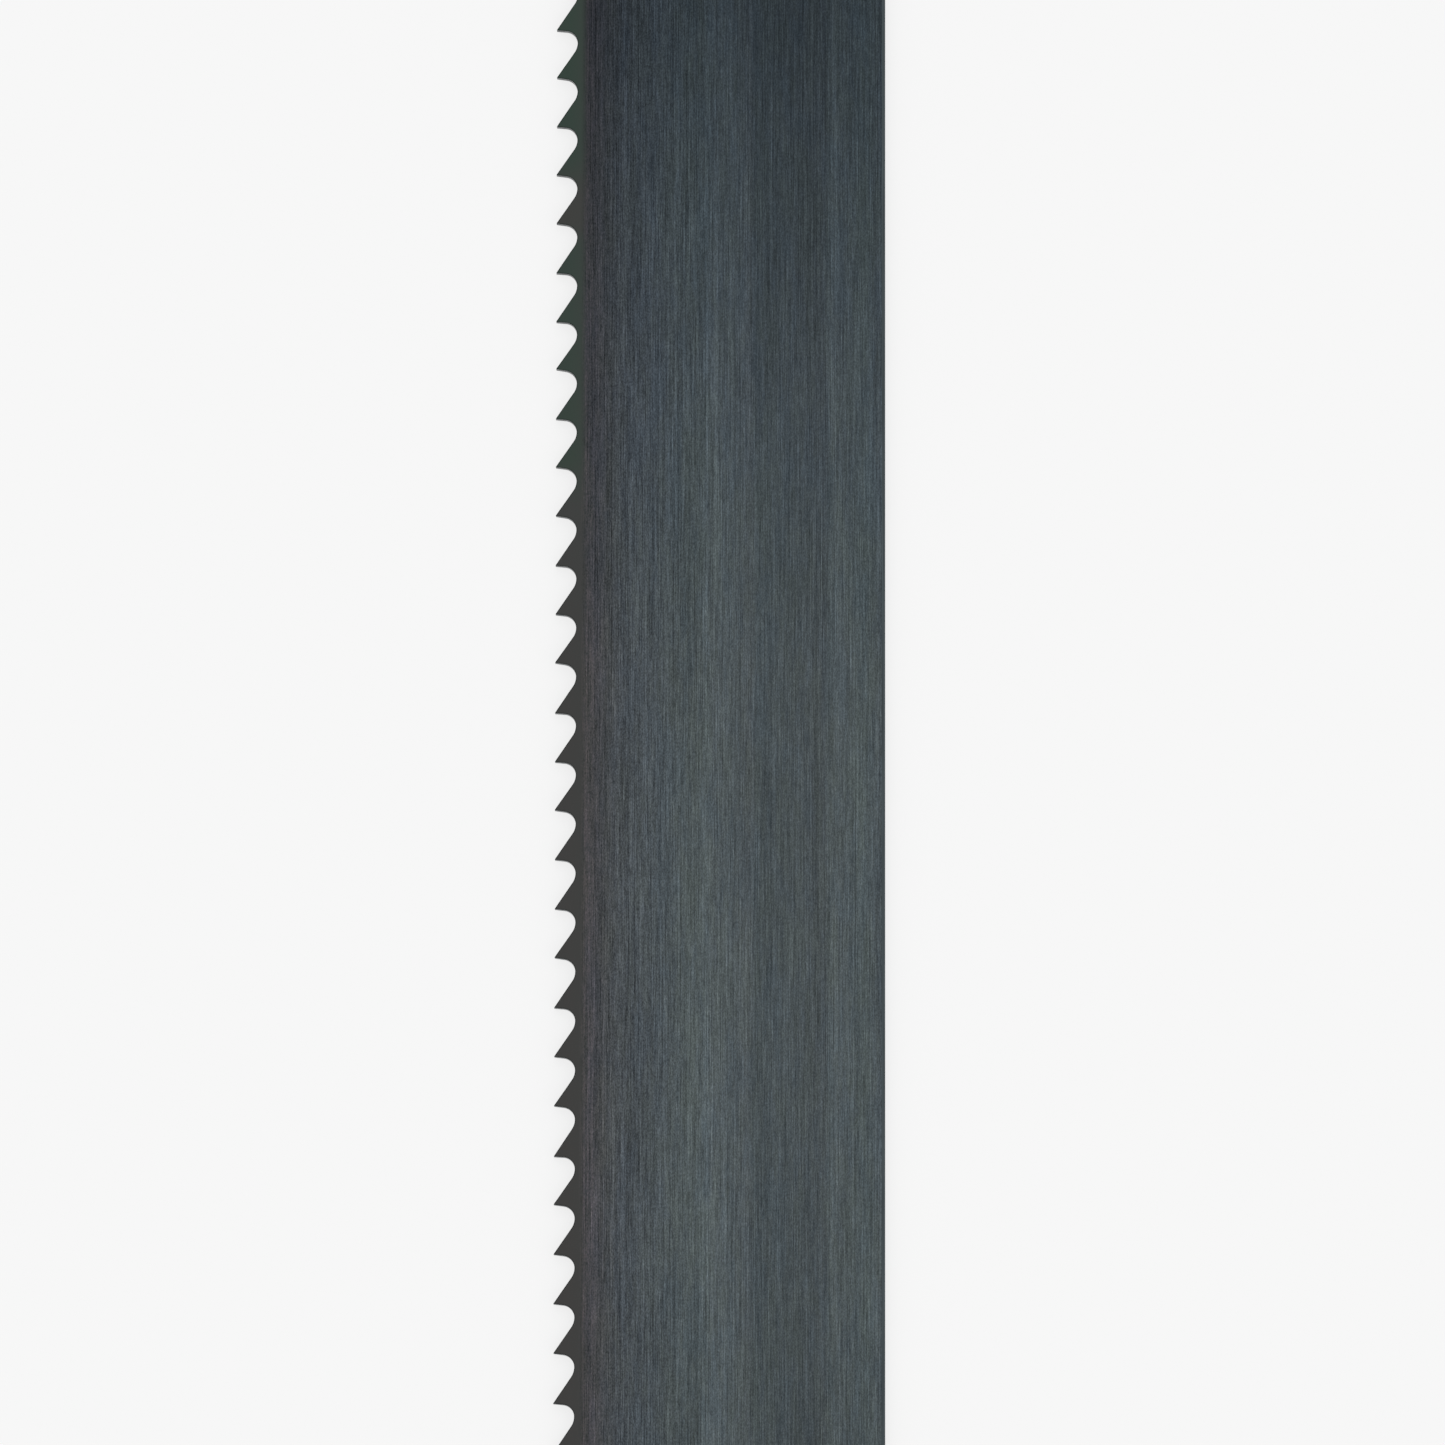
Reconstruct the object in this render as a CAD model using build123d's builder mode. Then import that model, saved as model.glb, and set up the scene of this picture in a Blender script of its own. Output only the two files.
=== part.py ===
from build123d import *
from math import acos, asin, atan2, cos, degrees, hypot, radians, sin
import os

# Band saw blade: a straight length of toothed steel band, lying on its side.
# X runs across the band from the teeth (-X) to the back edge (+X), Y runs along
# it with the teeth pointing towards -Y, and Z is its thickness. The origin is at
# the middle of the length and width, on the surface that the blade lies on.
# All lengths are in millimetres and all angles in degrees.

# Band
BAND_WIDTH = 34.0
BAND_THICKNESS = 1.1
BACK_CORNER_RADIUS = 0.35

# Teeth: five to the inch, milled alike before they are set
TOOTH_COUNT = 33
TOOTH_PITCH = 5.08
GULLET_DEPTH = 2.12
FACE_ANGLE = 6.0
ENTRY_RADIUS = 1.25
EXIT_RADIUS = 1.95

# Set: each tip leans up (1) or down (-1) from a bend line along the band, or is
# left straight (0), so that the cut is wider than the band
SET_ORDER = (1, -1, 0)
SET_OFFSET = 0.3
SET_HEIGHT = 1.4
BEND_RADIUS = 1.5

# The tooth's face slopes from its tip towards the next tooth and meets the entry
# arc, which turns along the band at the deepest point of the gullet.
ENTRY_CENTRE_IN = GULLET_DEPTH - ENTRY_RADIUS
GULLET_DROP = (ENTRY_RADIUS + ENTRY_CENTRE_IN * sin(radians(FACE_ANGLE))) / cos(radians(FACE_ANGLE))
FACE_LENGTH = ENTRY_CENTRE_IN * cos(radians(FACE_ANGLE)) + GULLET_DROP * sin(radians(FACE_ANGLE))

# The exit arc carries on from there and turns into the next tooth's straight
# back, which is the tangent from that tooth's tip to the arc.
GULLET_RISE = TOOTH_PITCH - GULLET_DROP
EXIT_CENTRE_IN = GULLET_DEPTH - EXIT_RADIUS
EXIT_CENTRE_REACH = hypot(EXIT_CENTRE_IN, GULLET_RISE)
CLEARANCE_ANGLE = degrees(asin(EXIT_RADIUS / EXIT_CENTRE_REACH) + atan2(EXIT_CENTRE_IN, GULLET_RISE))

# A leaning tip keeps the band's thickness, and its outer corner stands
# SET_OFFSET out of the band's side.
HALF_THICKNESS = BAND_THICKNESS / 2
CORNER_HEIGHT = HALF_THICKNESS + SET_OFFSET
CORNER_REACH = hypot(SET_HEIGHT, CORNER_HEIGHT)
SET_ANGLE = degrees(acos(HALF_THICKNESS / CORNER_REACH) - atan2(SET_HEIGHT, CORNER_HEIGHT))

# Places in the part's own frame
BAND_LENGTH = TOOTH_COUNT * TOOTH_PITCH
TIP_LINE_X = -BAND_WIDTH / 2
ROOT_DEPTH = GULLET_DEPTH + BAND_THICKNESS
MID_PLANE_Z = CORNER_HEIGHT
FIRST_TIP_Y = BAND_LENGTH / 2 - GULLET_RISE


def tooth_plan():
    """One tooth and its root seen on the side of the band, with the tip at the origin.

    It reaches from the bottom of the gullet above to the bottom of the one below.
    """
    with BuildSketch() as plan:
        with BuildLine():
            exit_arc = JernArc((GULLET_DEPTH, GULLET_RISE), (0, -1), EXIT_RADIUS, -CLEARANCE_ANGLE)
            Line(exit_arc @ 1, (0, 0))
            face = PolarLine((0, 0), FACE_LENGTH, -FACE_ANGLE)
            entry_arc = JernArc(face @ 1, face % 1, ENTRY_RADIUS, FACE_ANGLE - 90)
            Polyline(entry_arc @ 1, (ROOT_DEPTH, -GULLET_DROP), (ROOT_DEPTH, GULLET_RISE), exit_arc @ 0)
        make_face()
    return plan.sketch


def straight_tooth():
    """Tooth in the plane of the band."""
    with BuildPart() as tooth:
        add(tooth_plan())
        extrude(amount=HALF_THICKNESS, both=True)
    return tooth.part


def set_tooth(side):
    """Tooth cut from a strip that leans up (1) or down (-1) beyond the bend line."""
    lean = radians(side * SET_ANGLE)
    reach = 2 * SET_HEIGHT
    with BuildPart() as tooth:
        with BuildSketch(Plane.XZ):
            with BuildLine():
                bend = (SET_HEIGHT, 0)
                past_tip = (SET_HEIGHT - reach * cos(lean), reach * sin(lean))
                FilletPolyline((ROOT_DEPTH, 0), bend, past_tip, radius=BEND_RADIUS)
            trace(line_width=BAND_THICKNESS)
        extrude(amount=TOOTH_PITCH, both=True)
        add(tooth_plan())
        extrude(amount=BAND_THICKNESS + SET_OFFSET, both=True, mode=Mode.INTERSECT)
    return tooth.part


tooth_places = [
    (TIP_LINE_X, FIRST_TIP_Y - index * TOOTH_PITCH, MID_PLANE_Z)
    for index in range(TOOTH_COUNT)
]

with BuildPart() as band_saw_blade:
    # Band behind the tooth roots, with its back corners rounded
    with BuildSketch(Plane.XZ):
        with Locations((TIP_LINE_X + ROOT_DEPTH, MID_PLANE_Z)):
            Rectangle(BAND_WIDTH - ROOT_DEPTH, BAND_THICKNESS, align=(Align.MIN, Align.CENTER))
        fillet(vertices().group_by(Axis.X)[-1], radius=BACK_CORNER_RADIUS)
    extrude(amount=BAND_LENGTH / 2, both=True)

    # Teeth along its front, in the repeating order of their set
    for first, side in enumerate(SET_ORDER):
        with Locations(*tooth_places[first :: len(SET_ORDER)]):
            add(set_tooth(side) if side else straight_tooth())

band_saw_blade.part.label = "band_saw_blade"

os.makedirs("parts", exist_ok=True)
export_step(band_saw_blade.part, "parts/band_saw_blade.step")
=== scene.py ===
"""A straight length of band saw blade: its fine form, its finishes and the studio around it.

The blade is one piece. A mesh of one tooth and the band behind it is worked out from the
tooth's arcs and lines. Geometry Nodes repeat it along the band, lean the tips in the order
of their set and close the two cut ends. Lengths are in metres and angles in radians, unless
a name says otherwise.
"""

import logging
from dataclasses import dataclass, replace
from enum import Enum
from math import acos, asin, atan2, cos, hypot, pi, radians, sin, tan

import bmesh
import bpy
from bpy.types import ID, Material, Mesh, Node, NodeSocket, NodeTree, Object
from mathutils import Euler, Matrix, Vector


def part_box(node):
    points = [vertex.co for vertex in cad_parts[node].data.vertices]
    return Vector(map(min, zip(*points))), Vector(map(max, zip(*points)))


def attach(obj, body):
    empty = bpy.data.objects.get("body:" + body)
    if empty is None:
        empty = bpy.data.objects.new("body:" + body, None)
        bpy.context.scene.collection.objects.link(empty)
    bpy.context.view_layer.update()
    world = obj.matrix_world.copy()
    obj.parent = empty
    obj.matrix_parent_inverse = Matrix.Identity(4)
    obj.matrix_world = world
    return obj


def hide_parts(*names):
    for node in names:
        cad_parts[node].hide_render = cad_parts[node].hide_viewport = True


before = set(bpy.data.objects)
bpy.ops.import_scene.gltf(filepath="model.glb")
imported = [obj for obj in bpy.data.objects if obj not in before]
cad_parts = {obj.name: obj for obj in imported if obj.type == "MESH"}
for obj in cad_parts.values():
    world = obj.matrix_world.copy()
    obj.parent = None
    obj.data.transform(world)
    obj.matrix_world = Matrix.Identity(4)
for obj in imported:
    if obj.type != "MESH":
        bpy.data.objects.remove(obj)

MM = 0.001
BLADE_NODE = "band_saw_blade"

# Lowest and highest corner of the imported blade
LOW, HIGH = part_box(BLADE_NODE)

# Names of what the mesh carries with it
EDGE_DISTANCE = "edge_distance"
TOOTH_NUMBER = "tooth_number"
SURFACE = "surface"

# Lean of the teeth in turn, from the far end: up, down and straight
SET_ORDER = (1.0, -1.0, 0.0)

LOG = logging.getLogger("blade")

Colour = tuple[float, float, float, float]
Value = float | int | str | tuple | Vector | NodeSocket | Node


def linear(hex_colour: str) -> Colour:
    """Turns an sRGB hex colour into linear light.

    Args:
        hex_colour: Six hex digits after a #.

    Returns:
        Red, green, blue and an alpha of 1.
    """
    channels = [int(hex_colour[at:at + 2], 16) / 255 for at in (1, 3, 5)]
    light = [c / 12.92 if c <= 0.04045 else ((c + 0.055) / 1.055) ** 2.4 for c in channels]
    return (*light, 1.0)


def placed(name: str, data: ID) -> Object:
    """Puts a new object into the scene.

    Args:
        name: The object's name.
        data: Its mesh, lamp or lens.

    Returns:
        The object.
    """
    made = bpy.data.objects.new(name, data)
    bpy.context.scene.collection.objects.link(made)
    return made


class Surface(Enum):
    """The surfaces of the blade that were made in different ways."""

    SIDE = 0
    BROKEN_EDGE = 1
    GULLET = 2
    BACK = 3
    CUT_END = 4


class Draft:
    """A node tree while it is drawn."""

    def __init__(self, tree: NodeTree) -> None:
        """Starts from an empty tree.

        Args:
            tree: The tree, whose nodes are removed.
        """
        self.tree = tree
        tree.nodes.clear()

    def add(self, kind: str, inputs: dict[int | str, Value] | None = None,
            stops: dict[float, str] | None = None, **settings: object) -> Node:
        """Adds a node, with its settings, values and links.

        Args:
            kind: The node's type.
            inputs: What each input, by name or number, gets: a value, or a link from a
                socket or from the first output that a node has in use.
            stops: For a colour ramp, the hex colour at each position.
            **settings: The node's own options.

        Returns:
            The new node.
        """
        node = self.tree.nodes.new(kind)
        for option, setting in settings.items():
            setattr(node, option, setting)
        for name, value in (inputs or {}).items():
            if isinstance(value, Node):
                value = next(output for output in value.outputs if output.enabled)
            if isinstance(value, NodeSocket):
                self.tree.links.new(value, node.inputs[name])
            else:
                node.inputs[name].default_value = value
        for at, (position, colour) in enumerate(sorted((stops or {}).items())):
            ramp = node.color_ramp.elements
            stop = ramp[at] if at < len(ramp) else ramp.new(position)
            stop.position = position
            stop.color = linear(colour)
        return node


class Sheet(Draft):
    """A metal material while it is drawn, with its patterns in real millimetres."""

    def __init__(self, name: str) -> None:
        """Starts a material.

        Args:
            name: The finish, as a maker would call it.
        """
        self.material = bpy.data.materials.new(name)
        self.material.use_nodes = True
        super().__init__(self.material.node_tree)
        place = self.add("ShaderNodeTexCoord").outputs["Object"]
        self.millimetres = self.add("ShaderNodeVectorMath", {0: place, "Scale": 1 / MM},
                                    operation="SCALE")
        self.axes = self.add("ShaderNodeSeparateXYZ", {0: self.millimetres}).outputs

    def close(self, colour: Value, roughness: Value, relief: Value,
              relief_mm: float) -> Material:
        """Ends the material in a bare metal surface.

        Args:
            colour: The metal's colour.
            roughness: The metal's roughness.
            relief: Height of the surface, from 0 to 1.
            relief_mm: What a relief of 1 stands for.

        Returns:
            The material.
        """
        bump = self.add("ShaderNodeBump", {"Height": relief, "Distance": relief_mm * MM})
        metal = self.add("ShaderNodeBsdfPrincipled", {
            "Base Color": colour,
            "Metallic": 1.0,
            "Roughness": roughness,
            "Normal": bump,
        })
        self.add("ShaderNodeOutputMaterial", {"Surface": metal})
        return self.material


@dataclass(frozen=True)
class Streaks:
    """Lines left in the steel by a belt, a cutter or a roll.

    Attributes:
        size_mm: Size of a line along X, Y and Z.
        weight: How far the strongest lines stand out, as a share of the steel's tone.
        detail: Octaves of finer lines inside the main ones.
        fineness: How strong each octave is beside the one before.
        offset_mm: Keeps two patterns apart.
    """

    size_mm: tuple[float, float, float]
    weight: float = 1.0
    detail: float = 1.0
    fineness: float = 0.5
    offset_mm: float = 0.0

    def draw(self, sheet: Sheet) -> Node:
        """Adds the pattern to a material.

        Args:
            sheet: The material.

        Returns:
            A value around 0.5.
        """
        stretched = sheet.add("ShaderNodeMapping", {
            "Vector": sheet.millimetres,
            "Location": (self.offset_mm,) * 3,
            "Scale": tuple(1 / size for size in self.size_mm),
        })
        return sheet.add("ShaderNodeTexNoise", {
            "Vector": stretched, "Scale": 1.0, "Detail": self.detail, "Roughness": self.fineness,
        })


@dataclass(frozen=True)
class Grain:
    """Several patterns of streaks over each other.

    Attributes:
        layers: The patterns.
        limits: Least and greatest sum of the patterns, around 1.
        glint: How much more the bright lines stand out than the dark ones.
    """

    layers: tuple[Streaks, ...]
    limits: tuple[float, float] = (0.7, 1.25)
    glint: float = 4.0

    def draw(self, sheet: Sheet) -> Node:
        """Adds the patterns up in a material.

        Args:
            sheet: The material.

        Returns:
            A tone around 1, by which the steel's colour is multiplied.
        """
        total: Value = 1.0 - sum(layer.weight for layer in self.layers) / 2
        for layer in self.layers:
            total = sheet.add("ShaderNodeMath", {0: layer.draw(sheet), 1: layer.weight, 2: total},
                              operation="MULTIPLY_ADD")
        least, greatest = self.limits
        limited = sheet.add("ShaderNodeClamp", {0: total, "Min": least, "Max": greatest})
        return sheet.add("ShaderNodeMath", {0: limited, 1: self.glint}, operation="POWER")


class HardenedBandSteel(Sheet):
    """Hardened spring steel band, brushed lengthwise on a belt.

    It gives the eye a blue-grey satin with fine lines along the band, in broad lighter and
    darker bands, that gets bluer towards one end and darker there, where the darkening is
    painted shade of the light falling off. The strip with the teeth was hardened after the
    brushing: it is smooth, dark and almost neutral, with a green temper colour towards the
    same end. Purple-brown lines show where its heat stopped, and a thin dark line of painted
    shade follows the milled edge.

    Attributes:
        grain: The belt's lines.
        mean_tone: The grain's mean.
        pressure: Strength of the lines near the teeth and near the back edge.
        pressure_mm: How far behind the tips each of these is reached.
        wander: How the borders of the broad bands wander.
        wander_mm: How far they do.
        clouds: Faint patches of another tint.
        heat_tint: Tint of the bright lines beside the strip.
        heat_tones: Tones of the grain between which a line takes on that tint.
        heat_mm: How far behind the tips the tint ends.
        strip_mm: How far behind the tips the hardened strip ends.
        strip_fade_mm: Width of the strip's border.
        strip_colour: Neutral colour of the strip.
        strip_share: Share of that colour at the strip's border.
        scale_colour: Colour of the thin dark line of painted shade along the milled edge.
        scale_share: Share of that colour on the very edge.
        scale_mm: Width of that line.
        roughness: The steel's roughness.
        relief_mm: Depth of the belt's lines.
    """

    # A real line of the belt is about 0.03 mm wide, and is drawn three times as wide so that
    # it shows. The fine mottle is drawn as coarse for the same reason.
    grain: Grain = Grain((
        Streaks((0.09, 0.2, 0.15), weight=0.39),
        Streaks((0.09, 1.3, 0.3), weight=0.28, offset_mm=11.0),
        Streaks((0.09, 6.0, 0.3), weight=0.34, offset_mm=23.0),
        Streaks((0.1, 40.0, 0.3), weight=0.25, offset_mm=31.0),
        Streaks((1.2, 30.0, 0.8), weight=0.05, detail=2.0, offset_mm=37.0),
        Streaks((4.0, 60.0, 2.0), weight=0.06, detail=2.0, offset_mm=43.0),
    ))
    mean_tone: float = 1.03
    pressure: tuple[float, float] = (1.12, 0.84)
    pressure_mm: tuple[float, float] = (6.0, 18.0)
    wander: Streaks = Streaks((6.0, 30.0, 2.0), offset_mm=3.0)
    wander_mm: float = 0.5
    clouds: Streaks = Streaks((1.6, 9.0, 3.0), detail=5.0, fineness=0.75, offset_mm=51.0)
    heat_tint: str = "#f8e6eb"
    heat_tones: tuple[float, float] = (0.85, 1.35)
    heat_mm: float = 6.5
    strip_mm: float = 2.9
    strip_fade_mm: float = 0.9
    strip_colour: str = "#3f4140"
    strip_share: float = 0.4
    scale_colour: str = "#1d211f"
    scale_share: float = 0.65
    scale_mm: float = 0.15
    roughness: float = 0.45
    relief_mm: float = 0.002

    def __init__(self) -> None:
        """Starts the material with its lines and its places on the blade."""
        super().__init__("brushed hardened spring steel")
        # Millimetres behind the tips, and a share from 0 at the near end to 1 at the far one
        self.depth = self.add("ShaderNodeMath", {0: self.axes["X"], 1: LOW.x / MM},
                              operation="SUBTRACT")
        self.along = self.add("ShaderNodeMapRange", {
            "Value": self.axes["Y"], "From Min": LOW.y / MM, "From Max": HIGH.y / MM,
        })
        self.lines = self.pressed()

    def pressed(self) -> Node:
        """Draws the belt's lines, which are deeper near the teeth than near the back edge.

        Returns:
            A tone around 1, by which the steel's colour is multiplied.
        """
        pressure = self.add("ShaderNodeMapRange", {
            "Value": self.depth,
            "From Min": self.pressure_mm[0], "From Max": self.pressure_mm[1],
            "To Min": self.pressure[0], "To Max": self.pressure[1],
        })
        lines = self.add("ShaderNodeMath", {0: self.grain.draw(self), 1: self.mean_tone},
                         operation="SUBTRACT")
        return self.add("ShaderNodeMath", {0: lines, 1: pressure, 2: 1.0},
                        operation="MULTIPLY_ADD")

    def brushed(self) -> Node:
        """Draws the colour of the brushed side.

        Returns:
            The colour.
        """
        # Broad bands with borders that wander a little
        wander = self.add("ShaderNodeMapRange", {
            "Value": self.wander.draw(self), "To Min": -self.wander_mm, "To Max": self.wander_mm,
        })
        place = self.add("ShaderNodeMath", {0: self.axes["X"], 1: wander})
        across = self.add("ShaderNodeMapRange", {
            "Value": place, "From Min": LOW.x / MM, "From Max": HIGH.x / MM,
        })
        # The darker last stop, just before the back edge's rounded corner, is painted shade of that
        # corner
        colour = self.add("ShaderNodeValToRGB", {"Fac": across}, stops={
            0.08: "#474848", 0.12: "#4b4c4f", 0.16: "#494c4e", 0.19: "#4d5155", 0.23: "#4d5256",
            0.30: "#4e5458", 0.40: "#505759", 0.44: "#505759", 0.455: "#586063", 0.475: "#565d60",
            0.54: "#535a5d", 0.59: "#53595c", 0.61: "#4c5356", 0.817: "#4b5154", 0.83: "#51585a",
            0.845: "#555c5e", 0.87: "#51585b", 0.94: "#51595b", 0.975: "#50575a", 0.99: "#4a5155",
        })
        # Painted shade along the band: darker towards the ends, most of all at the far end, which
        # is also bluer
        painted_shade_along = self.add("ShaderNodeValToRGB", {"Fac": self.along}, stops={
            0.0: "#ecefef", 0.25: "#fdffff", 0.42: "#f9fbfb", 0.52: "#f6f8f8", 0.58: "#ecf0f1",
            0.64: "#e9eef2", 0.70: "#dfe4ea", 0.80: "#ced5db", 0.92: "#b3bbc3", 1.0: "#abb1ba",
        })
        tints = self.add("ShaderNodeValToRGB", {"Fac": self.clouds.draw(self)}, stops={
            0.4: "#f8fbff", 0.5: "#ffffff", 0.6: "#fffffa",
        })
        for layer in (painted_shade_along, tints):
            colour = self.add("ShaderNodeMix", {0: 1.0, 6: colour, 7: layer},
                              data_type="RGBA", blend_type="MULTIPLY")
        return self.add("ShaderNodeVectorMath", {0: colour, "Scale": self.lines},
                        operation="SCALE")

    def heated(self) -> Node:
        """Turns the brushed side's bright lines purple-brown beside the hardened strip.

        Returns:
            The colour.
        """
        nearness = self.add("ShaderNodeMapRange", {
            "Value": self.depth, "From Min": self.strip_mm, "From Max": self.heat_mm,
            "To Min": 1.0, "To Max": 0.0,
        })
        bright = self.add("ShaderNodeMapRange", {
            "Value": self.lines, "From Min": self.heat_tones[0], "From Max": self.heat_tones[1],
        })
        share = self.add("ShaderNodeMath", {0: nearness, 1: bright}, operation="MULTIPLY")
        return self.add("ShaderNodeMix", {0: share, 6: self.brushed(), 7: linear(self.heat_tint)},
                        data_type="RGBA", blend_type="MULTIPLY")

    def strip(self) -> Node:
        """Draws the colour of the hardened strip: green or neutral, and neutral behind.

        Returns:
            The colour.
        """
        tempered = self.add("ShaderNodeValToRGB", {"Fac": self.along}, stops={
            0.0: "#41403f", 0.55: "#40403f", 0.62: "#404140", 0.65: "#39433d", 0.783: "#39433e",
            0.795: "#40413f", 0.815: "#40413f", 0.838: "#37433d", 1.0: "#37433c",
        })
        behind = self.add("ShaderNodeMapRange", {
            "Value": self.depth, "From Min": self.strip_mm / 2, "From Max": self.strip_mm,
            "To Max": self.strip_share,
        })
        return self.add("ShaderNodeMix", {0: behind, 6: tempered, 7: linear(self.strip_colour)},
                        data_type="RGBA")

    def build(self) -> Material:
        """Makes the material.

        Returns:
            The material.
        """
        behind_strip = self.add("ShaderNodeMapRange", {
            "Value": self.depth,
            "From Min": self.strip_mm - self.strip_fade_mm / 2,
            "From Max": self.strip_mm + self.strip_fade_mm / 2,
        }, interpolation_type="SMOOTHSTEP")
        whole = self.add("ShaderNodeMix", {0: behind_strip, 6: self.strip(), 7: self.heated()},
                         data_type="RGBA")
        # Painted shade: a thin dark line along the milled edge, fading out behind it
        distance = self.add("ShaderNodeAttribute", attribute_name=EDGE_DISTANCE).outputs["Fac"]
        painted_edge_shade = self.add("ShaderNodeMapRange", {
            "Value": distance, "From Max": self.scale_mm * MM,
            "To Min": self.scale_share, "To Max": 0.0,
        })
        colour = self.add("ShaderNodeMix", {0: painted_edge_shade, 6: whole, 7: linear(self.scale_colour)},
                          data_type="RGBA")
        relief = self.add("ShaderNodeMath", {0: self.lines, 1: behind_strip}, operation="MULTIPLY")
        return self.close(colour, self.roughness, relief, self.relief_mm)


@dataclass(frozen=True)
class ToolMarkedSteel:
    """Steel of one colour with the marks of the tool that made the surface.

    Attributes:
        name: The finish, as a maker would call it.
        colour: The steel's colour.
        marks: The tool marks.
        roughness: The steel's roughness.
        relief_mm: Depth of the marks.
    """

    name: str
    colour: str
    marks: Grain
    roughness: float
    relief_mm: float

    def build(self) -> Material:
        """Makes the material.

        Returns:
            The material.
        """
        sheet = Sheet(self.name)
        marks = self.marks.draw(sheet)
        colour = sheet.add("ShaderNodeVectorMath", {
            0: linear(self.colour)[:3], "Scale": marks,
        }, operation="SCALE")
        return sheet.close(colour, self.roughness, marks, self.relief_mm)


# Painted shade on the broken edges: a dark, dull hairline
PAINTED_SHADE_EDGE = ToolMarkedSteel(
    name="furnace scale on a broken steel edge", colour="#23282a", roughness=0.5, relief_mm=0.001,
    marks=Grain((Streaks((0.3, 0.3, 0.3), weight=0.25, detail=2.0),)))

# Gullets milled across the band: fine ridges run through its thickness. A real ridge is
# about 0.02 mm wide, and is drawn at 0.07 mm so that it shows.
MILLED_GULLET = ToolMarkedSteel(
    name="milled and hardened tool steel", colour="#3a3f40", roughness=0.4, relief_mm=0.004,
    marks=Grain((Streaks((0.07, 0.07, 2.5), weight=0.4, detail=2.0),)))

# Back edge dressed lengthwise: a darker satin with long lines
DRESSED_BACK = ToolMarkedSteel(
    name="dressed spring steel edge", colour="#454d50", roughness=0.42, relief_mm=0.002,
    marks=Grain((Streaks((0.12, 9.0, 0.12), weight=0.3, detail=2.0),)))


class ShearedSteel(Sheet):
    """Spring steel cut square on a shear.

    It gives the eye bare grey metal: a bright land with upright lines where the blade cut,
    and a dull, torn band where the steel broke.

    Attributes:
        colours: Colours of the land and of the torn band.
        roughness: Roughness of the one and of the other.
        lines: The land's upright lines.
        tears: Roughness of the torn band, which its border with the land follows too.
        land_share: How high the land reaches.
        ragged_mm: How far the border strays.
        border_mm: Width of the border.
        steps: Values of the marks that get the least and the greatest tone.
        tones: The least and the greatest tone.
        relief_mm: Depth of the marks.
    """

    colours: tuple[str, str] = ("#85898b", "#5f6365")
    roughness: tuple[float, float] = (0.3, 0.6)
    lines: Streaks = Streaks((0.08, 0.08, 3.0), detail=2.0)
    tears: Streaks = Streaks((0.35, 0.35, 0.35), detail=3.0)
    land_share: float = 0.38
    ragged_mm: float = 0.3
    border_mm: float = 0.08
    steps: tuple[float, float] = (0.25, 0.75)
    tones: tuple[float, float] = (0.7, 1.3)
    relief_mm: float = 0.01

    def __init__(self) -> None:
        """Starts the material."""
        super().__init__("sheared spring steel")

    def build(self) -> Material:
        """Makes the material.

        Returns:
            The material.
        """
        tears = self.tears.draw(self)
        height = self.add("ShaderNodeMath", {0: tears, 1: self.ragged_mm, 2: self.axes["Z"]},
                          operation="MULTIPLY_ADD")
        land_top = (LOW.z + (HIGH.z - LOW.z) * self.land_share) / MM + self.ragged_mm / 2
        torn = self.add("ShaderNodeMapRange", {
            "Value": height, "From Min": land_top, "From Max": land_top + self.border_mm,
        })
        land, tear = (linear(colour) for colour in self.colours)
        steel = self.add("ShaderNodeMix", {0: torn, 6: land, 7: tear}, data_type="RGBA")
        marks = self.add("ShaderNodeMix", {0: torn, 2: self.lines.draw(self), 3: tears})
        tone = self.add("ShaderNodeMapRange", {
            "Value": marks, "From Min": self.steps[0], "From Max": self.steps[1],
            "To Min": self.tones[0], "To Max": self.tones[1],
        })
        colour = self.add("ShaderNodeVectorMath", {0: steel, "Scale": tone}, operation="SCALE")
        roughness = self.add("ShaderNodeMapRange", {
            "Value": torn, "To Min": self.roughness[0], "To Max": self.roughness[1],
        })
        return self.close(colour, roughness, marks, self.relief_mm)


@dataclass(frozen=True)
class EdgePoint:
    """A point of the milled edge, seen on the side of the band.

    Attributes:
        depth: How far it lies behind the line of the tips.
        along: How far it lies along the band from its tooth's tip.
        inward: Angle from the depth direction to the normal that points into the steel.
    """

    depth: float
    along: float
    inward: float

    def inset(self, distance: float) -> "EdgePoint":
        """The point moved into the steel."""
        return EdgePoint(self.depth + distance * cos(self.inward),
                         self.along + distance * sin(self.inward), self.inward)


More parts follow.
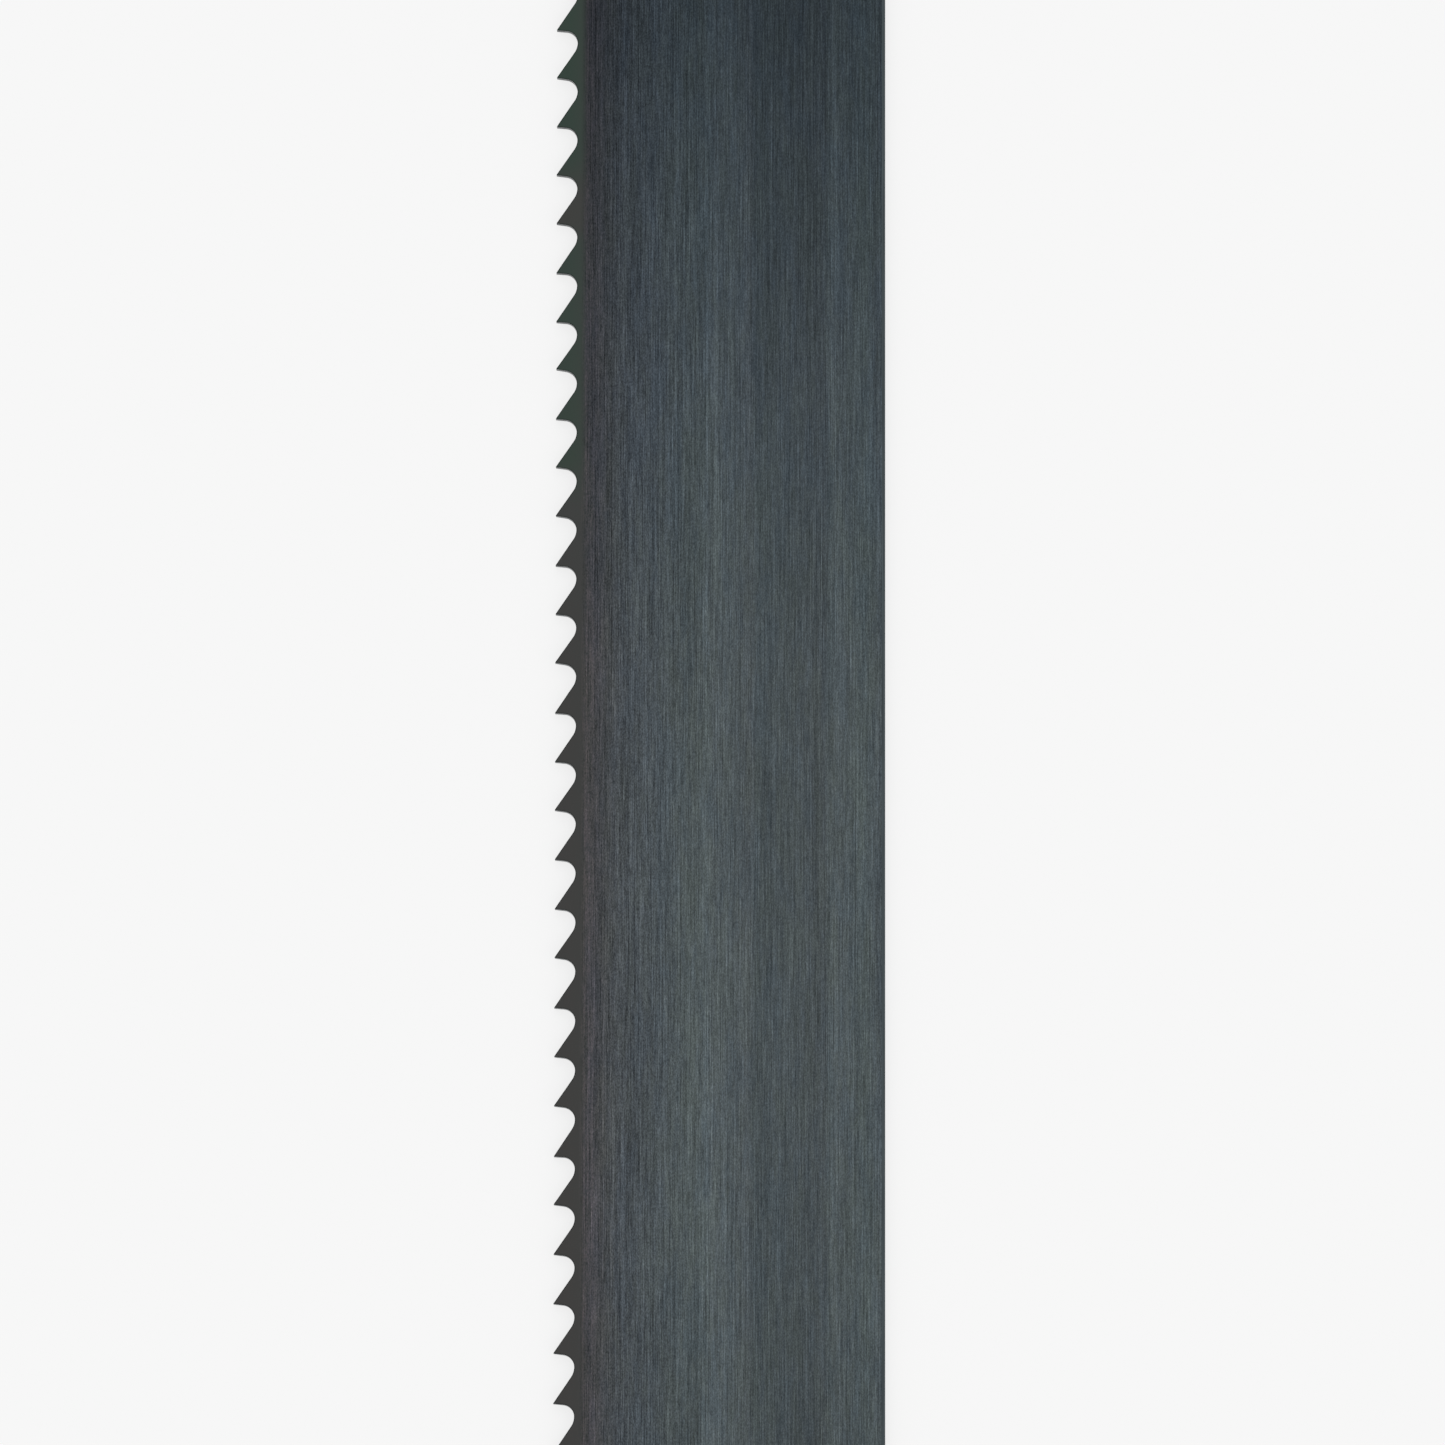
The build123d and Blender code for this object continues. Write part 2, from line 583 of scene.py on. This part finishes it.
@dataclass(frozen=True)
class MilledTooth:
    """The outline of a tooth before it is set: four arcs and lines, and a rounded tip.

    The gullet is 0.055 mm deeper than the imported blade's and its exit arc 0.15 mm tighter,
    which follows the photograph's mean outline to within about a third of a pixel. The
    steps are the stretches that each arc or line is divided into.
    """

    pitch: float
    gullet_depth: float = 2.175 * MM
    face_angle: float = radians(6.0)
    entry_radius: float = 1.25 * MM
    exit_radius: float = 1.8 * MM
    tip_radius: float = 0.035 * MM
    exit_steps: int = 8
    back_steps: int = 12
    tip_steps: int = 3
    face_steps: int = 6
    entry_steps: int = 12

    @property
    def drop(self) -> float:
        """From the tip along the band to the deepest point of its own gullet."""
        centre_in = self.gullet_depth - self.entry_radius
        return (self.entry_radius + centre_in * sin(self.face_angle)) / cos(self.face_angle)

    @property
    def rise(self) -> float:
        """From the tip along the band to the deepest point of the gullet above."""
        return self.pitch - self.drop

    @property
    def clearance(self) -> float:
        """Angle between the tooth's straight back and the band."""
        centre_in = self.gullet_depth - self.exit_radius
        return asin(self.exit_radius / hypot(centre_in, self.rise)) + atan2(centre_in, self.rise)

    def arc(self, centre: tuple[float, float], radius: float, start: float, stop: float,
            steps: int) -> list[EdgePoint]:
        """Points on a round stretch of the edge.

        Args:
            centre: Depth and place along the band of the arc's centre.
            radius: Positive round a gullet, and negative round a corner of the steel.
            start: Angle of the first point's inward normal.
            stop: Angle of the last point's inward normal.
            steps: Number of stretches between the points.

        Returns:
            The points, both ends included.
        """
        angles = [start + (stop - start) * step / steps for step in range(steps + 1)]
        return [EdgePoint(centre[0] + radius * cos(angle), centre[1] + radius * sin(angle), angle)
                for angle in angles]

    def line(self, start: EdgePoint, stop: EdgePoint, steps: int) -> list[EdgePoint]:
        """Points on a straight stretch of the edge.

        Args:
            start: The stretch's first end.
            stop: The stretch's other end, whose normal the points share.
            steps: Number of stretches between the points.

        Returns:
            The points, without the two ends.
        """
        shares = [step / steps for step in range(1, steps)]
        return [EdgePoint(start.depth + (stop.depth - start.depth) * share,
                          start.along + (stop.along - start.along) * share, stop.inward)
                for share in shares]

    def outline(self) -> list[EdgePoint]:
        """Works out the milled edge from the deepest point of one gullet to the next.

        Returns:
            The points, from the gullet above the tooth to the tooth's own.
        """
        face_normal = pi / 2 - self.face_angle
        exit_arc = self.arc((self.gullet_depth - self.exit_radius, self.rise), self.exit_radius,
                            0.0, -self.clearance, self.exit_steps)
        entry_arc = self.arc((self.gullet_depth - self.entry_radius, -self.drop), self.entry_radius,
                             face_normal, 0.0, self.entry_steps)
        half_corner = (face_normal + self.clearance) / 2
        bisector = (face_normal - self.clearance) / 2
        tip_reach = self.tip_radius / cos(half_corner)
        tip_arc = self.arc((tip_reach * cos(bisector), tip_reach * sin(bisector)), -self.tip_radius,
                           -self.clearance, face_normal, self.tip_steps)
        back = self.line(exit_arc[-1], tip_arc[0], self.back_steps)
        face = self.line(tip_arc[-1], entry_arc[0], self.face_steps)
        return [*exit_arc, *back, *tip_arc, *face, *entry_arc]


@dataclass(frozen=True)
class SectionPoint:
    """A vertex of the band's section, from the tip line, the mid-plane and the milled edge."""

    depth: float
    along: float
    height: float
    edge_distance: float


class SetToothRow(Draft):
    """Geometry Nodes that repeat the tooth, lean the tips and close the cut ends."""

    INPUTS: dict[str, str] = {
        "Tooth": "Geometry", "Cut end": "Object", "Teeth": "Int", "First tip": "Vector",
        "Next tooth": "Vector", "Near end": "Vector", "Far end": "Vector", "Row start": "Float",
        "Row end": "Float", "Set angle": "Float", "Bend start": "Float", "Bend radius": "Float",
        "Gullet depth": "Float", "Tip wander": "Vector", "Set wander": "Float", "Seed": "Int",
        "Weld distance": "Float", **{surface.name: "Material" for surface in Surface},
    }

    def __init__(self) -> None:
        """Draws the whole tree."""
        super().__init__(bpy.data.node_groups.new("set teeth along a band", "GeometryNodeTree"))
        new_socket = self.tree.interface.new_socket
        new_socket("Geometry", in_out="OUTPUT", socket_type="NodeSocketGeometry")
        self.identifiers = {
            name: new_socket(name, in_out="INPUT", socket_type=f"NodeSocket{kind}").identifier
            for name, kind in self.INPUTS.items()
        }
        self.given = self.add("NodeGroupInput").outputs
        self.index = self.add("GeometryNodeInputIndex")
        self.position = self.add("GeometryNodeInputPosition")
        self.number = self.add("GeometryNodeInputNamedAttribute", {"Name": TOOTH_NUMBER},
                               data_type="INT")
        local = self.add("ShaderNodeVectorMath", {0: self.position, 1: self.given["First tip"]},
                         operation="SUBTRACT")
        self.local = self.add("ShaderNodeSeparateXYZ", {0: local}).outputs
        self.add("NodeGroupOutput", {0: self.dressed()})

    def set_teeth(self) -> Node:
        """Puts one tooth at each place and lets it lean by its number from the far end.

        Returns:
            The row of teeth.
        """
        places = self.add("GeometryNodeMeshLine", {
            "Count": self.given["Teeth"], "Start Location": self.given["First tip"],
            "Offset": self.given["Next tooth"],
        })
        row = self.add("GeometryNodeInstanceOnPoints", {
            "Points": places, "Instance": self.given["Tooth"],
        })
        numbered = self.add("GeometryNodeStoreNamedAttribute", {
            "Geometry": row, "Name": TOOTH_NUMBER, "Value": self.index,
        }, data_type="INT", domain="INSTANCE")
        teeth = self.add("GeometryNodeRealizeInstances", {0: numbered})
        rise = self.add("ShaderNodeCombineXYZ", {"Z": self.rise()})
        shift = self.add("ShaderNodeVectorMath", {0: rise, 1: self.tip_shift()}, operation="ADD")
        return self.add("GeometryNodeSetPosition", {"Geometry": teeth, "Offset": shift})

    def rise(self) -> Node:
        """How far the set lifts or lowers a vertex: round an arc first, then on a slope.

        Returns:
            The lift, which is 0 on a straight tooth.
        """
        turn = self.add("FunctionNodeIntegerMath", {0: self.number, 1: len(SET_ORDER)},
                        operation="MODULO")
        side = self.add("GeometryNodeIndexSwitch", data_type="FLOAT")
        side.index_switch_items.new()
        self.tree.links.new(turn.outputs[0], side.inputs["Index"])
        for choice, lean in enumerate(SET_ORDER):
            side.inputs[str(choice)].default_value = lean
        least = self.add("ShaderNodeMath", {0: 1.0, 1: self.given["Set wander"]},
                         operation="SUBTRACT")
        share = self.add("FunctionNodeRandomValue", {
            2: least, 3: 1.0, "ID": self.number, "Seed": self.given["Seed"],
        }, data_type="FLOAT")
        known = dict(self.given.items(), side=side, share=share, nothing=0.0,
                     depth=self.local["X"], height=self.local["Z"])
        for name, operation, *sources in (
            ("angle", "MULTIPLY", "share", "Set angle"),
            ("sine", "SINE", "angle"),
            ("slope", "TANGENT", "angle"),
            ("outward", "MULTIPLY", "side", "height"),
            ("radius", "SUBTRACT", "Bend radius", "outward"),
            ("past bend", "SUBTRACT", "Bend start", "depth"),
            ("run", "MAXIMUM", "past bend", "nothing"),
            ("whole arc", "MULTIPLY", "radius", "sine"),
            ("on arc", "MINIMUM", "run", "whole arc"),
            ("on slope", "SUBTRACT", "run", "on arc"),
            ("radius square", "MULTIPLY", "radius", "radius"),
            ("arc square", "MULTIPLY", "on arc", "on arc"),
            ("rest", "SUBTRACT", "radius square", "arc square"),
            ("upright", "SQRT", "rest"),
            ("arc rise", "SUBTRACT", "radius", "upright"),
            ("lift", "MULTIPLY_ADD", "on slope", "slope", "arc rise"),
            ("rise", "MULTIPLY", "lift", "side"),
        ):
            inputs = {at: known[source] for at, source in enumerate(sources)}
            known[name] = self.add("ShaderNodeMath", inputs, operation=operation)
        return known["rise"]

    def tip_shift(self) -> Node:
        """How far each tip is out of its place; the gullets stay where they are.

        Returns:
            The shift, along the blade and into it.
        """
        lowest = self.add("ShaderNodeVectorMath", {
            0: self.given["Tip wander"], 1: (0.0, -1.0, 0.0),
        }, operation="MULTIPLY")
        seed = self.add("FunctionNodeIntegerMath", {0: self.given["Seed"], 1: 1}, operation="ADD")
        wander = self.add("FunctionNodeRandomValue", {
            0: lowest, 1: self.given["Tip wander"], "ID": self.number, "Seed": seed,
        }, data_type="FLOAT_VECTOR")
        nearness = self.add("ShaderNodeMapRange", {
            "Value": self.local["X"], "From Max": self.given["Gullet depth"],
            "To Min": 1.0, "To Max": 0.0,
        })
        return self.add("ShaderNodeVectorMath", {0: wander, "Scale": nearness}, operation="SCALE")

    def trimmed(self) -> Node:
        """Draws both ends of the row back by the broken edge that each cut end brings.

        Returns:
            The row, a little shorter.
        """
        place = self.add("ShaderNodeSeparateXYZ", {0: self.position}).outputs
        kept = self.add("ShaderNodeClamp", {
            0: place["Y"], "Min": self.given["Row start"], "Max": self.given["Row end"],
        })
        drawn_back = self.add("ShaderNodeCombineXYZ", {"X": place["X"], "Y": kept, "Z": place["Z"]})
        return self.add("GeometryNodeSetPosition", {
            "Geometry": self.set_teeth(), "Position": drawn_back,
        })

    def closed(self) -> Node:
        """Closes both ends with the same cut end, turned about for the far one.

        Returns:
            The closed band, as one real mesh whose neighbours share their vertices.
        """
        ends = self.add("GeometryNodeMeshLine", {
            "Count": 2, "Start Location": self.given["Near end"], "Offset": self.given["Far end"],
        }, mode="END_POINTS")
        cut_end = self.add("GeometryNodeObjectInfo", {"Object": self.given["Cut end"]})
        # 1 for the first end and -1 for the second
        facing = self.add("ShaderNodeMath", {0: self.index, 1: -2.0, 2: 1.0},
                          operation="MULTIPLY_ADD")
        mirror = self.add("ShaderNodeCombineXYZ", {"X": 1.0, "Y": facing, "Z": 1.0})
        cut_ends = self.add("GeometryNodeInstanceOnPoints", {
            "Points": ends, "Instance": cut_end.outputs["Geometry"], "Scale": mirror,
        })
        joined = self.add("GeometryNodeJoinGeometry", {0: self.trimmed()})
        self.tree.links.new(cut_ends.outputs[0], joined.inputs[0])
        real = self.add("GeometryNodeRealizeInstances", {0: joined})
        return self.add("GeometryNodeMergeByDistance", {
            "Geometry": real, "Distance": self.given["Weld distance"],
        })

    def dressed(self) -> Node:
        """Gives each face the material of its surface.

        Returns:
            The blade with its materials.
        """
        blade = self.closed()
        made = self.add("GeometryNodeInputNamedAttribute", {"Name": SURFACE}, data_type="INT")
        for surface in Surface:
            chosen = self.add("FunctionNodeCompare", {2: made, 3: surface.value},
                              data_type="INT", operation="EQUAL")
            blade = self.add("GeometryNodeSetMaterial", {
                "Geometry": blade, "Selection": chosen, "Material": self.given[surface.name],
            })
        return blade


@dataclass(frozen=True)
class ToothedBand:
    """The whole blade: band, set teeth, back edge and cut ends, as one closed mesh.

    Attributes:
        low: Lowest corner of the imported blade.
        high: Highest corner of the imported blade.
        tooth_count: Teeth along the blade.
        set_offset: How far a leaning tip's corner stands out of the side.
        set_height: From the tips to the corner of the bend.
        bend_radius: Radius of the bend at the mid-plane.
        root_depth: How far behind the tips the mesh of a tooth ends.
        edge_break: Width of the broken edges.
        back_radius: Radius of the back edge's corners.
        back_steps: Facets round each of those corners.
        fan: Share of the way from the milled edge to the root of each column of the side.
        tip_wander: How far a tip may lie from its place along the blade. Into the blade it is
            half as far.
        set_wander: Share by which a tooth's lean may be less than it should.
        seed: Start of the random choices.
        weld: Distance up to which neighbouring vertices become one.
        sharp_angle: Angle from which an edge between two faces is shaded sharp.
    """

    low: Vector
    high: Vector
    tooth_count: int = 33
    set_offset: float = 0.3 * MM
    set_height: float = 1.4 * MM
    bend_radius: float = 1.5 * MM
    root_depth: float = 3.22 * MM
    edge_break: float = 0.03 * MM
    back_radius: float = 0.35 * MM
    back_steps: int = 5
    fan: tuple[float, ...] = (0.02, 0.045, 0.08, 0.13, 0.19, 0.26, 0.34, 0.43, 0.54, 0.68, 0.84,
                              1.0)
    tip_wander: float = 0.07 * MM
    set_wander: float = 0.08
    seed: int = 5
    weld: float = 0.001 * MM
    sharp_angle: float = radians(24.0)

    @property
    def half_thickness(self) -> float:
        """Half of the band's thickness, without the set."""
        return (self.high.z - self.low.z) / 2 - self.set_offset

    @property
    def tooth(self) -> MilledTooth:
        """The outline of one tooth."""
        return MilledTooth(pitch=(self.high.y - self.low.y) / self.tooth_count)

    @property
    def first_tip(self) -> Vector:
        """The tip next to the far end, on the mid-plane."""
        return Vector((self.low.x, self.high.y - self.tooth.rise, (self.low.z + self.high.z) / 2))

    @property
    def set_angle(self) -> float:
        """Lean of a set tooth whose outer corner stands out by the set offset."""
        corner = Vector((self.half_thickness + self.set_offset, self.set_height))
        return acos(self.half_thickness / corner.length) - atan2(corner.y, corner.x)

    @property
    def bend_start(self) -> float:
        """Depth behind the tips at which the bend of a set tooth begins."""
        return self.set_height + self.bend_radius * tan(self.set_angle / 2)

    def section(self, outline: list[EdgePoint], row: int) -> list[SectionPoint]:
        """A closed row of vertices round the band.

        Args:
            outline: The milled edge of the tooth.
            row: Which point of the outline the row starts from.

        Returns:
            The vertices, over the upper side to the back edge and back under the lower one.
        """
        edge = outline[row]
        start = edge.inset(self.edge_break)
        root_along = self.tooth.rise - self.tooth.pitch * row / (len(outline) - 1)
        top = self.half_thickness
        upper = [SectionPoint(edge.depth, edge.along, top - self.edge_break, 0.0),
                 SectionPoint(start.depth, start.along, top, self.edge_break)]
        for share in self.fan:
            depth = start.depth + (self.root_depth - start.depth) * share
            along = start.along + (root_along - start.along) * share
            distance = min(hypot(point.depth - depth, point.along - along) for point in outline)
            upper.append(SectionPoint(depth, along, top, distance))
        centre_depth = self.high.x - self.low.x - self.back_radius
        for step in range(self.back_steps + 1):
            angle = pi / 2 * (1 - step / self.back_steps)
            upper.append(SectionPoint(centre_depth + self.back_radius * cos(angle), root_along,
                                      top - self.back_radius * (1 - sin(angle)), self.root_depth))
        return upper + [replace(point, height=-point.height) for point in reversed(upper)]

    def surfaces(self) -> list[Surface]:
        """The surface of each stretch of a section, in the order of its vertices."""
        upper = ([Surface.BROKEN_EDGE] + [Surface.SIDE] * (len(self.fan) + 1)
                 + [Surface.BACK] * self.back_steps)
        return [*upper, Surface.BACK, *reversed(upper), Surface.GULLET]

    def fill(self, name: str, rings: list[list[SectionPoint]], extra: list[tuple[int, ...]],
             surfaces: list[Surface]) -> Object:
        """Makes a mesh object from closed rings of vertices.

        Args:
            name: The object's name.
            rings: Rings of vertices, each joined to the next by a strip of faces.
            extra: Further faces, as vertex numbers.
            surfaces: The surface of each face.

        Returns:
            The object, with its faces' surfaces and its vertices' distances from the edge.
        """
        count = len(rings[0])
        strips = [(ring * count + at, ring * count + (at + 1) % count,
                   (ring + 1) * count + (at + 1) % count, (ring + 1) * count + at)
                  for ring in range(len(rings) - 1) for at in range(count)]
        points = [point for ring in rings for point in ring]
        mesh = bpy.data.meshes.new(name)
        mesh.from_pydata([(point.depth, point.along, point.height) for point in points], [],
                         strips + extra)
        distances = mesh.attributes.new(EDGE_DISTANCE, "FLOAT", "POINT")
        distances.data.foreach_set("value", [point.edge_distance for point in points])
        numbers = mesh.attributes.new(SURFACE, "INT", "FACE")
        numbers.data.foreach_set("value", [surface.value for surface in surfaces])
        return placed(name, mesh)

    def tooth_cell(self) -> Object:
        """Makes the mesh of one tooth with the band behind it.

        Returns:
            The object, open where the next ones join.
        """
        outline = self.tooth.outline()
        rings = [self.section(outline, row) for row in range(len(outline))]
        return self.fill("tooth", rings, [], self.surfaces() * (len(rings) - 1))

    def cut_end(self) -> Object:
        """Makes the mesh that closes the near end, with its broken edge.

        Returns:
            The object, drawn from the end's own plane.
        """
        ring = self.section(self.tooth.outline(), 0)
        count = len(ring)
        outer = [replace(point, along=self.edge_break) for point in ring]
        inner = []
        for at, point in enumerate(ring):
            before, after = ring[at - 1], ring[(at + 1) % count]
            run = Vector((after.depth - before.depth, after.height - before.height)).normalized()
            inner.append(SectionPoint(point.depth + run.y * self.edge_break, 0.0,
                                      point.height - run.x * self.edge_break, 0.0))
        # One face from each stretch of the ring's upper half to the stretch below it
        faces = [(count + at, count + at + 1, 2 * count - 2 - at, 2 * count - 1 - at)
                 for at in range(count // 2 - 1)]
        surfaces = [Surface.BROKEN_EDGE] * count + [Surface.CUT_END] * len(faces)
        return self.fill("cut end", [outer, inner], faces, surfaces)

    def finishes(self) -> dict[Surface, Material]:
        """Makes the finishes.

        Returns:
            The material of each surface.
        """
        return {
            Surface.SIDE: HardenedBandSteel().build(),
            Surface.BROKEN_EDGE: PAINTED_SHADE_EDGE.build(),
            Surface.GULLET: MILLED_GULLET.build(),
            Surface.BACK: DRESSED_BACK.build(),
            Surface.CUT_END: ShearedSteel().build(),
        }

    def build(self) -> Object:
        """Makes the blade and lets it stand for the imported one.

        Returns:
            The finished piece.
        """
        piece = self.tooth_cell()
        piece.name = "toothed_steel_band"
        cut_end = self.cut_end()
        row = SetToothRow()
        values = {
            "Cut end": cut_end,
            "Teeth": self.tooth_count,
            "First tip": self.first_tip,
            "Next tooth": Vector((0.0, -self.tooth.pitch, 0.0)),
            "Near end": Vector((self.low.x, self.low.y, self.first_tip.z)),
            "Far end": Vector((self.low.x, self.high.y, self.first_tip.z)),
            "Row start": self.low.y + self.edge_break,
            "Row end": self.high.y - self.edge_break,
            "Set angle": self.set_angle,
            "Bend start": self.bend_start,
            "Bend radius": self.bend_radius,
            "Gullet depth": self.tooth.gullet_depth,
            "Tip wander": Vector((self.tip_wander / 2, self.tip_wander, 0.0)),
            "Set wander": self.set_wander,
            "Seed": self.seed,
            "Weld distance": self.weld,
            **{surface.name: material for surface, material in self.finishes().items()},
        }
        modifier = piece.modifiers.new("repeat", "NODES")
        modifier.node_group = row.tree
        for name, value in values.items():
            modifier[row.identifiers[name]] = value
        evaluated = piece.evaluated_get(bpy.context.evaluated_depsgraph_get())
        mesh = bpy.data.meshes.new_from_object(evaluated)
        piece.modifiers.remove(modifier)
        piece.data = mesh
        bpy.data.objects.remove(cut_end)
        self.close(mesh)
        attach(piece, "root")
        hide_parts(BLADE_NODE)
        return piece

    def close(self, mesh: Mesh) -> None:
        """Turns the faces outwards and shades the round stretches smooth.

        Args:
            mesh: The mesh of the whole blade.
        """
        shell = bmesh.new()
        shell.from_mesh(mesh)
        bmesh.ops.recalc_face_normals(shell, faces=shell.faces)
        shell.to_mesh(mesh)
        shell.free()
        for name in (TOOTH_NUMBER, SURFACE):
            mesh.attributes.remove(mesh.attributes[name])
        mesh.shade_smooth()
        mesh.set_sharp_from_angle(angle=self.sharp_angle)


@dataclass(frozen=True)
class PhotoView:
    """The camera, from what the photograph shows of the blade.

    Attributes:
        image_px: Width and height of the photograph.
        tip_line_px: Column of the tips at mid-height.
        back_edge_px: Column of the back edge.
        tip_row_px: Row of the tip whose number from the far end is tip_number.
        tip_number: See tip_row_px.
        lens_mm: Focal length.
        sensor_mm: Width of the sensor.
        tilt: How far the view leans towards the far end, which brings the near end closer.
        roll: Turn of the camera about its own axis.
        clip_start: Distance from which the camera sees.
    """

    image_px: float = 1445.0
    tip_line_px: float = 554.75
    back_edge_px: float = 885.25
    tip_row_px: float = 712.6
    tip_number: int = 16
    lens_mm: float = 330.0
    sensor_mm: float = 36.0
    tilt: float = radians(6.5)
    roll: float = radians(0.08)
    clip_start: float = 10 * MM

    def build(self, blade: ToothedBand) -> Object:
        """Makes the camera and gives it to the scene.

        Args:
            blade: The blade that it looks at.

        Returns:
            The camera.
        """
        centre_px = self.image_px / 2
        pixel = (blade.high.x - blade.low.x) / (self.back_edge_px - self.tip_line_px)
        distance = pixel * self.image_px * self.lens_mm / self.sensor_mm
        tip_y = blade.first_tip.y - self.tip_number * blade.tooth.pitch
        aim = Vector((blade.high.x - (self.back_edge_px - centre_px) * pixel,
                      tip_y - (centre_px - self.tip_row_px) * pixel,
                      blade.first_tip.z + blade.half_thickness))
        turn = Euler((self.tilt, 0.0, 0.0)).to_matrix() @ Euler((0.0, 0.0, self.roll)).to_matrix()
        lens = bpy.data.cameras.new("photo view")
        lens.lens = self.lens_mm
        lens.sensor_width = self.sensor_mm
        lens.clip_start = self.clip_start
        camera = placed("photo view", lens)
        camera.rotation_euler = turn.to_euler()
        camera.location = aim - turn @ Vector((0.0, 0.0, -distance))
        bpy.context.scene.camera = camera
        return camera


@dataclass(frozen=True)
class Studio:
    """A pale matt table under one large soft panel.

    Attributes:
        floor_colour: Colour of the table, which is also the background.
        floor_half: Half the table's width.
        floor_gap: How far the table lies under the blade, so that they don't coincide.
        glow: Share of the table's look that its own colour gives, and not the light on it.
        panel_size: Width of the soft panel.
        panel_place: Middle of the panel.
        panel_watts: Power of the panel.
        fill: Strength of the light from all around.
    """

    floor_colour: str = "#f7f7f7"
    floor_half: float = 3.0
    floor_gap: float = 0.01 * MM
    glow: float = 0.82
    panel_size: float = 4.0
    panel_place: tuple[float, float, float] = (-0.2, -0.3, 2.0)
    panel_watts: float = 7.2
    fill: float = 0.99

    def shown(self, draft: Draft) -> Node:
        """Adds the factor by which a background shows its own colour.

        Args:
            draft: The material or world.

        Returns:
            A value of 1 for what the camera, a reflection or a clear piece sees, else 0.
        """
        rays = draft.add("ShaderNodeLightPath").outputs
        direct = draft.add("ShaderNodeMath", {0: rays["Is Camera Ray"], 1: rays["Is Glossy Ray"]},
                           operation="MAXIMUM")
        return draft.add("ShaderNodeMath", {0: direct, 1: rays["Is Transmission Ray"]},
                         operation="MAXIMUM")

    def build_floor(self) -> None:
        """Makes the table, which glows in its own colour so that it stays as pale."""
        mesh = bpy.data.meshes.new("table")
        half = self.floor_half
        corners = ((-half, -half), (half, -half), (half, half), (-half, half))
        mesh.from_pydata([(x, y, -self.floor_gap) for x, y in corners], [], [(0, 1, 2, 3)])
        material = bpy.data.materials.new("matt white board")
        material.use_nodes = True
        draft = Draft(material.node_tree)
        colour = linear(self.floor_colour)
        board = draft.add("ShaderNodeBsdfDiffuse", {"Color": colour})
        glow = draft.add("ShaderNodeEmission", {"Color": colour, "Strength": 1.0})
        share = draft.add("ShaderNodeMath", {0: self.shown(draft), 1: self.glow},
                          operation="MULTIPLY")
        mixed = draft.add("ShaderNodeMixShader", {0: share, 1: board, 2: glow})
        draft.add("ShaderNodeOutputMaterial", {"Surface": mixed})
        mesh.materials.append(material)
        placed("table", mesh)

    def build_panel(self) -> None:
        """Hangs the soft panel, level, over the table."""
        lamp = bpy.data.lights.new("soft panel", "AREA")
        lamp.shape = "SQUARE"
        lamp.size = self.panel_size
        lamp.energy = self.panel_watts
        placed("soft panel", lamp).location = self.panel_place

    def build_surroundings(self) -> None:
        """Gives the scene its soft light from all around and its pale background."""
        world = bpy.data.worlds.new("pale room")
        world.use_nodes = True
        draft = Draft(world.node_tree)
        colour = linear(self.floor_colour)
        light = draft.add("ShaderNodeBackground", {"Color": colour, "Strength": self.fill})
        backdrop = draft.add("ShaderNodeBackground", {"Color": colour, "Strength": 1.0})
        mixed = draft.add("ShaderNodeMixShader", {0: self.shown(draft), 1: light, 2: backdrop})
        draft.add("ShaderNodeOutputWorld", {"Surface": mixed})
        bpy.context.scene.world = world
        bpy.context.scene.view_settings.view_transform = "Standard"

    def build(self) -> None:
        """Makes the whole studio."""
        self.build_surroundings()
        self.build_floor()
        self.build_panel()


def main() -> None:
    """Builds the blade and the studio, and writes down how large the blade came out."""
    logging.basicConfig(level=logging.INFO, format="%(message)s")
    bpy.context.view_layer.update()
    blade = ToothedBand(LOW, HIGH)
    piece = blade.build()
    LOG.info("%s: %d faces, %d teeth", piece.name, len(piece.data.polygons), blade.tooth_count)
    camera = PhotoView().build(blade)
    LOG.info("%s: %.1f mm above the blade", camera.name, (camera.location.z - blade.high.z) / MM)
    Studio().build()
    LOG.info("studio: floor, panel and surroundings")


if __name__ == "__main__":
    main()
